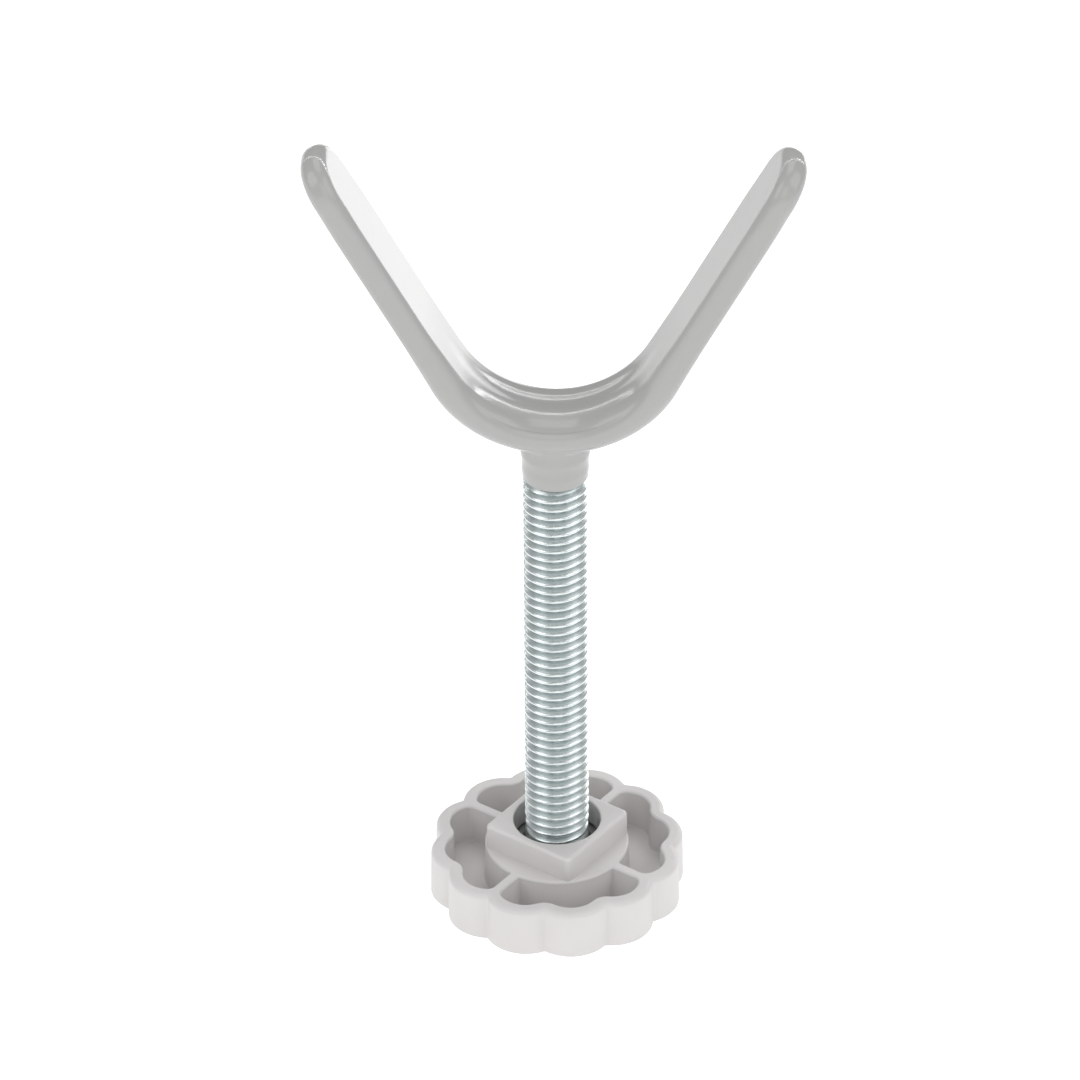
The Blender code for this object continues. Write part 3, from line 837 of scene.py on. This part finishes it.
class Finish:
    """A material being made.  Sockets that stay the same all over are set by name when it starts."""

    def __init__(self, name, **steady):
        self.material = bpy.data.materials.new(name)
        self.material.use_nodes = True
        self.tree = self.material.node_tree
        self.shader = self.tree.nodes["Principled BSDF"]
        for socket, value in steady.items():
            self.shader.inputs[socket.replace("_", " ")].default_value = value
        self.place = self.node("TexCoord").outputs["Object"]

    def node(self, kind, settings=None, sockets=None):
        """Any node: its type, then its settings, then the values or links of its sockets."""
        made = self.tree.nodes.new("ShaderNode" + kind)
        for setting, value in (settings or {}).items():
            setattr(made, setting, value)
        for socket, value in (sockets or {}).items():
            self.join(value, made.inputs[socket])
        return made

    def join(self, value, socket):
        """Link a socket or a number to a socket, or set its value."""
        if isinstance(value, Number):
            value = value.socket
        if isinstance(value, bpy.types.NodeSocket):
            self.tree.links.new(value, socket)
        else:
            socket.default_value = value

    def from_axis(self):
        """Distance of the point from the Z axis, as a number."""
        split = self.node("SeparateXYZ", sockets={"Vector": self.place})
        x, y = [Number(self.tree, split.outputs[axis]) for axis in "XY"]
        return (x * x + y * y).root()

    def stretched(self, x, y, z):
        """The point with each coordinate multiplied."""
        settings = {"operation": "MULTIPLY"}
        return self.node("VectorMath", settings, {0: self.place, 1: (x, y, z)}).outputs[0]

    def noise(self, size, detail=2.0, roughness=0.5, place=None):
        """Cloudy noise from 0 to 1 whose blotches are about this many metres across."""
        sockets = {
            "Vector": place or self.place, "Scale": 1.0 / size, "Detail": detail, "Roughness": roughness
        }
        return Number(self.tree, self.node("TexNoise", sockets=sockets).outputs[0])

    def blend(self, share, first, second):
        """A colour between two others."""
        made = self.node("Mix", {"data_type": "RGBA"}, {"Factor": share, COLOUR_A: first, COLOUR_B: second})
        return made.outputs[COLOUR_RESULT]

    def bump(self, height, depth, normal=None):
        """A bump from a height between 0 and 1 that stands for a depth in metres."""
        sockets = {"Height": height, "Distance": depth, "Strength": 1.0}
        if normal is not None:
            sockets["Normal"] = normal
        return self.node("Bump", sockets=sockets).outputs["Normal"]

    def wear(self, colour=None, roughness=None, normal=None, metallic=None):
        """Join what changes over the surface to the shader."""
        for socket, value in (
            ("Base Color", colour), ("Roughness", roughness), ("Normal", normal), ("Metallic", metallic)
        ):
            if value is not None:
                self.join(value, self.shader.inputs[socket])
        return self.material


def grey(red, green, blue):
    """A colour as a shader wants it."""
    return (red, green, blue, 1.0)


# %% [markdown]
# The fork's coat is a glossy moulded grey.  What makes it look like plastic and not like paint on a
# drawing is small: faint clouds where the pigment flowed, the ripple that a thick glossy skin always has,
# and a gloss that isn't even.

# %% Glossy coat
def glossy_coat():
    finish = Finish("glossy_coat", IOR=1.5)
    clouds = finish.noise(size=0.012, detail=3.0)
    speck = finish.noise(size=0.00025, detail=1.0)
    ripple = finish.noise(size=0.0032, detail=1.0)
    fine = finish.noise(size=0.0005, detail=2.0)
    share = (clouds * 0.8 + speck * 0.2).clamped()
    colour = finish.blend(share, grey(0.398, 0.399, 0.391), grey(0.440, 0.441, 0.434))
    roughness = 0.11 + clouds * 0.04 + fine * 0.03
    normal = finish.bump(ripple, depth=0.000005)
    normal = finish.bump(fine, depth=0.0000006, normal=normal)
    return finish.wear(colour, roughness, normal)


# %% [markdown]
# The rod is plated with zinc: a bright, slightly blue metal.  The rolls leave fine lines along the thread.
# Down in the roots the plating is duller, and its colour is darkened there as painted shade; the crests keep
# the bright plate.
# All of that follows from how far a point is from the rod's axis.

# %% Zinc plate
def zinc_plate():
    finish = Finish("zinc_plate")
    radius = finish.from_axis()
    depth = ((ROD_RADIUS - radius) / THREAD_DEPTH).clamped()
    blotch = finish.noise(size=0.004, detail=3.0)
    lines = finish.noise(size=0.0006, detail=3.0, roughness=0.6, place=finish.stretched(1.0, 1.0, 9.0))
    grain = finish.noise(size=0.00012, detail=2.0)
    plated = finish.blend(blotch, grey(0.72, 0.79, 0.80), grey(0.86, 0.90, 0.89))
    # Painted shade: the colour deep in the thread's roots is darkened, with the real roll lines running through
    # it.
    painted_root_shade = finish.blend(lines, grey(0.22, 0.27, 0.28), grey(0.54, 0.60, 0.60))
    # The deeper a point lies in a root, the more of the painted shade it takes.
    colour = finish.blend((depth * 1.1).clamped(), plated, painted_root_shade)
    roughness = 0.18 + depth * 0.14 + lines * 0.12
    normal = finish.bump(lines, depth=0.000018)
    normal = finish.bump(grain, depth=0.000003, normal=normal)
    return finish.wear(colour, roughness, normal, 1.0 - depth * 0.15)


# %% [markdown]
# The bush is turned, so its face has fine rings left by the tool.  A sine of the distance from the axis
# gives them, and noise breaks them up.

# %% Turned metal
TOOL_FEED = 0.00012


def turned_metal():
    finish = Finish("turned_metal", Metallic=1.0)
    radius = finish.from_axis()
    rings = (radius * (2 * math.pi / TOOL_FEED)).sine() * 0.5 + 0.5
    stain = finish.noise(size=0.0015, detail=3.0)
    colour = finish.blend(stain, grey(0.42, 0.43, 0.42), grey(0.62, 0.63, 0.61))
    return finish.wear(colour, 0.24 + stain * 0.2, finish.bump(rings, depth=0.000004))


# %% [markdown]
# The wheel is moulded in a light warm grey with a satin skin.  The mould was finely spark-eroded, which
# leaves an even grain that softens every reflection, and the plastic carries faint flow clouds.

# %% Moulded plastic
def moulded_plastic():
    finish = Finish("moulded_plastic", IOR=1.48)
    flow = finish.noise(size=0.009, detail=3.0)
    grain = finish.noise(size=0.00022, detail=2.0, roughness=0.6)
    ripple = finish.noise(size=0.003, detail=1.0)
    colour = finish.blend(flow, grey(0.665, 0.645, 0.640), grey(0.715, 0.698, 0.694))
    roughness = 0.34 + flow * 0.06 + grain * 0.08
    normal = finish.bump(ripple, depth=0.000012)
    normal = finish.bump(grain, depth=0.000006, normal=normal)
    return finish.wear(colour, roughness, normal)


# %% [markdown]
# The bar inside the coat is hot-rolled steel with its scale on: dark, patchy and rough.

# %% Rolled steel
def rolled_steel():
    finish = Finish("rolled_steel")
    scale = finish.noise(size=0.003, detail=5.0, roughness=0.65)
    pits = finish.noise(size=0.0004, detail=3.0)
    colour = finish.blend(scale, grey(0.16, 0.16, 0.17), grey(0.36, 0.35, 0.34))
    normal = finish.bump(pits, depth=0.00002)
    return finish.wear(colour, 0.38 + scale * 0.25, normal, 0.75 + scale * 0.2)


# %% [markdown]
# A finish could be picked by the piece's name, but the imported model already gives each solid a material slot.
# So one table goes from slot to finish, and each piece takes the slot of the solid that it stands for.

# %% Finishes on their pieces
FINISHES = {
    "glossy_coat": glossy_coat,
    "zinc_plate": zinc_plate,
    "bush_metal": turned_metal,
    "moulded_plastic": moulded_plastic,
    "bare_steel": rolled_steel,
}
slot_of = {part["node"]: part["material_slot"] for part in frame["record"]["subparts"]}
PIECES.append((frame["nodes"]["fork_core"], "fork_core"))
for piece, node in PIECES:
    slot = slot_of[node]
    piece.data.materials.clear()
    piece.data.materials.append(FINISHES[slot]())
    print(piece.name, "is", slot)

# %% [markdown]
# The stand is seen from a little above, from far away through a long lens, so that its sides stay nearly
# parallel.  The camera is placed by an angle round the object, an angle above the floor and a distance, and
# is rolled a little about its own line of sight.

# %% The camera
VIEW_TURN = math.radians(1.21)
VIEW_ELEVATION = math.radians(34.356)
VIEW_DISTANCE = 1.0934
LENS = 243.2                        # millimetres
SENSOR_WIDTH = 36.0                 # millimetres
CLIP_END = 20.0
VIEW_ROLL = math.radians(0.35)
AIM_ASIDE = -0.00235
AIM_HEIGHT = 0.06386


def round_the_axis(turn, elevation):
    """The direction towards a place at an angle round Z, 0 in front, and an angle above the floor."""
    level = math.cos(elevation)
    return Vector((math.sin(turn) * level, -math.cos(turn) * level, math.sin(elevation)))


aim = Vector((AIM_ASIDE * math.cos(VIEW_TURN), AIM_ASIDE * math.sin(VIEW_TURN), AIM_HEIGHT))
towards_camera = round_the_axis(VIEW_TURN, VIEW_ELEVATION)
camera_data = bpy.data.cameras.new("camera")
camera_data.lens = LENS
camera_data.sensor_width = SENSOR_WIDTH
camera_data.clip_end = CLIP_END
camera = bpy.data.objects.new("camera", camera_data)
camera.location = aim + VIEW_DISTANCE * towards_camera
level_view = (-towards_camera).to_track_quat("-Z", "Y")
camera.rotation_euler = (level_view @ Quaternion((0.0, 0.0, 1.0), -VIEW_ROLL)).to_euler()
bpy.context.scene.collection.objects.link(camera)
bpy.context.scene.camera = camera
print("camera at", [round(value, 3) for value in camera.location])

# %% [markdown]
# The light is a plain studio.  A single lamp would leave one side dark, so large soft lamps stand at both
# sides, in front and above, and none is much stronger than the others.

# %% The soft lamps
STUDIO = Vector((0.0, 0.0, 0.07))
UPWARDS = Vector((0.0, 0.0, 1.0))


def soft_light(name, away, distance, size, power, up=UPWARDS, target=STUDIO):
    """A rectangular lamp in a direction from the target, facing it, with its height along up."""
    data = bpy.data.lights.new(name, "AREA")
    data.shape = "RECTANGLE"
    data.size, data.size_y = size
    data.energy = power
    lamp = bpy.data.objects.new(name, data)
    across = up.cross(away).normalized()
    lamp.location = target + distance * away
    lamp.rotation_euler = Matrix((across, away.cross(across), away)).transposed().to_euler()
    lamp.visible_camera = False
    bpy.context.scene.collection.objects.link(lamp)
    return lamp


SOFT_SIDE = 0.9
SOFT_LAMPS = [                      # name, turn and elevation in degrees, distance, power
    ("key", 66, 38, 1.2, 3.5),
    ("fill", -62, 35, 1.4, 4.2),
    ("front", 5, 27, 1.5, 2.7),
    ("top", 180, 72, 1.3, 3.9),
]
for name, turn, elevation, distance, power in SOFT_LAMPS:
    away = round_the_axis(math.radians(turn), math.radians(elevation))
    soft_light(name, away, distance, (SOFT_SIDE, SOFT_SIDE), power)
print(len(SOFT_LAMPS), "soft lamps")

# %% [markdown]
# The bright lines on the coat are mirror images, so what makes them must be long and narrow.  A straight
# strip would show only in the lowest point of the bend.  So the strip is an arch, and each part of it is put
# where a mirror in one part of the bend would show it.  It is only there to be mirrored: it throws no light
# on dull surfaces.  So is the bright card that stands behind, to the right, which the inner face of the left
# arm mirrors at a low angle.

# %% Things that the gloss mirrors
ARCH_DISTANCE = 1.3
ARCH_WIDTH = 0.05
ARCH_LAMPS = 13
ARCH_REACH = math.radians(46)       # of the bend that the arch is seen in, each way
ARCH_TILT = math.radians(6.4)       # of the dish's far slope
ARCH_LEVEL = (4.5, 17.0)            # at the left end and at the right end
CARD_DISTANCE = 0.2
CARD_SIDE = 0.13
CARD_LEVEL = 1.5
CARD_PLACE = 2 / 3                  # how far out on the left arm it is mirrored


def mirrored(leaning, tilt):
    """Where a ray from the camera goes after it meets a face of the fork.

    The face's normal leans to the left, and tilts towards the front.  With view as the direction back to
    the camera, the mirrored ray is 2 (normal . view) normal - view.
    """
    level = math.cos(tilt)
    normal = Vector((-math.sin(leaning) * level, -math.sin(tilt), math.cos(leaning) * level))
    return 2 * normal.dot(towards_camera) * normal - towards_camera


def mirrored_lamp(name, away, distance, size, level, up=UPWARDS, target=STUDIO):
    """A lamp that only shows in glossy surfaces.  Its power is its level times pi times its area."""
    power = level * math.pi * size[0] * size[1]
    soft_light(name, away, distance, size, power, up, target).visible_diffuse = False


arch = [mirrored(leaning, ARCH_TILT) for leaning in np.linspace(ARCH_REACH, -ARCH_REACH, ARCH_LAMPS + 1)]
for place, (here, there) in enumerate(zip(arch, arch[1:])):
    away = (here + there).normalized()
    size = (ARCH_WIDTH, ARCH_DISTANCE * (there - here).length)
    level = ARCH_LEVEL[0] + (ARCH_LEVEL[1] - ARCH_LEVEL[0]) * place / (ARCH_LAMPS - 1)
    mirrored_lamp(f"arch_{place + 1}", away, ARCH_DISTANCE, size, level, there - here)
    print(f"arch_{place + 1} towards", [round(value, 2) for value in away], "level", round(level, 1))

to_card = mirrored(-BEND_TURN, 0.0)
left_arm = Vector((coat_low.x * CARD_PLACE, 0.0, (arc_centre + coat_high.z) / 2))
mirrored_lamp("card", to_card, CARD_DISTANCE, (CARD_SIDE, CARD_SIDE), CARD_LEVEL, target=left_arm)
print("card towards", [round(value, 2) for value in to_card])

# %% [markdown]
# The room is an even white all round, which fills in what the lamps leave dark.  The floor gives a little
# light of its own, as a lit table does, so that shadows stay faint.  It is there for the picture only, and
# isn't a piece.

# %% The room and the floor
ROOM_LEVEL = 0.42
WHITE = grey(1.0, 1.0, 1.0)
world = bpy.data.worlds.new("room")
world.use_nodes = True
background = world.node_tree.nodes["Background"]
background.inputs["Color"].default_value = WHITE
background.inputs["Strength"].default_value = ROOM_LEVEL
bpy.context.scene.world = world
bpy.context.scene.view_settings.view_transform = "Standard"

FLOOR_REACH = 4.0
FLOOR_HEIGHT = -0.00002             # a hair below the wheel's foot
FLOOR_GLOW = 0.5
floor_points = around_z(FLOOR_REACH, full_turn(4) + math.pi / 4, FLOOR_HEIGHT)
floor_mesh = bpy.data.meshes.new("floor")
floor_mesh.from_pydata(floor_points.tolist(), [], [[0, 1, 2, 3]])
floor = link("floor", floor_mesh)
pale = Finish("pale_floor", Roughness=0.9, Emission_Color=WHITE, Emission_Strength=FLOOR_GLOW)
cast = pale.noise(size=0.5)
floor.data.materials.append(pale.wear(pale.blend(cast, grey(0.90, 0.90, 0.90), grey(0.92, 0.92, 0.92))))
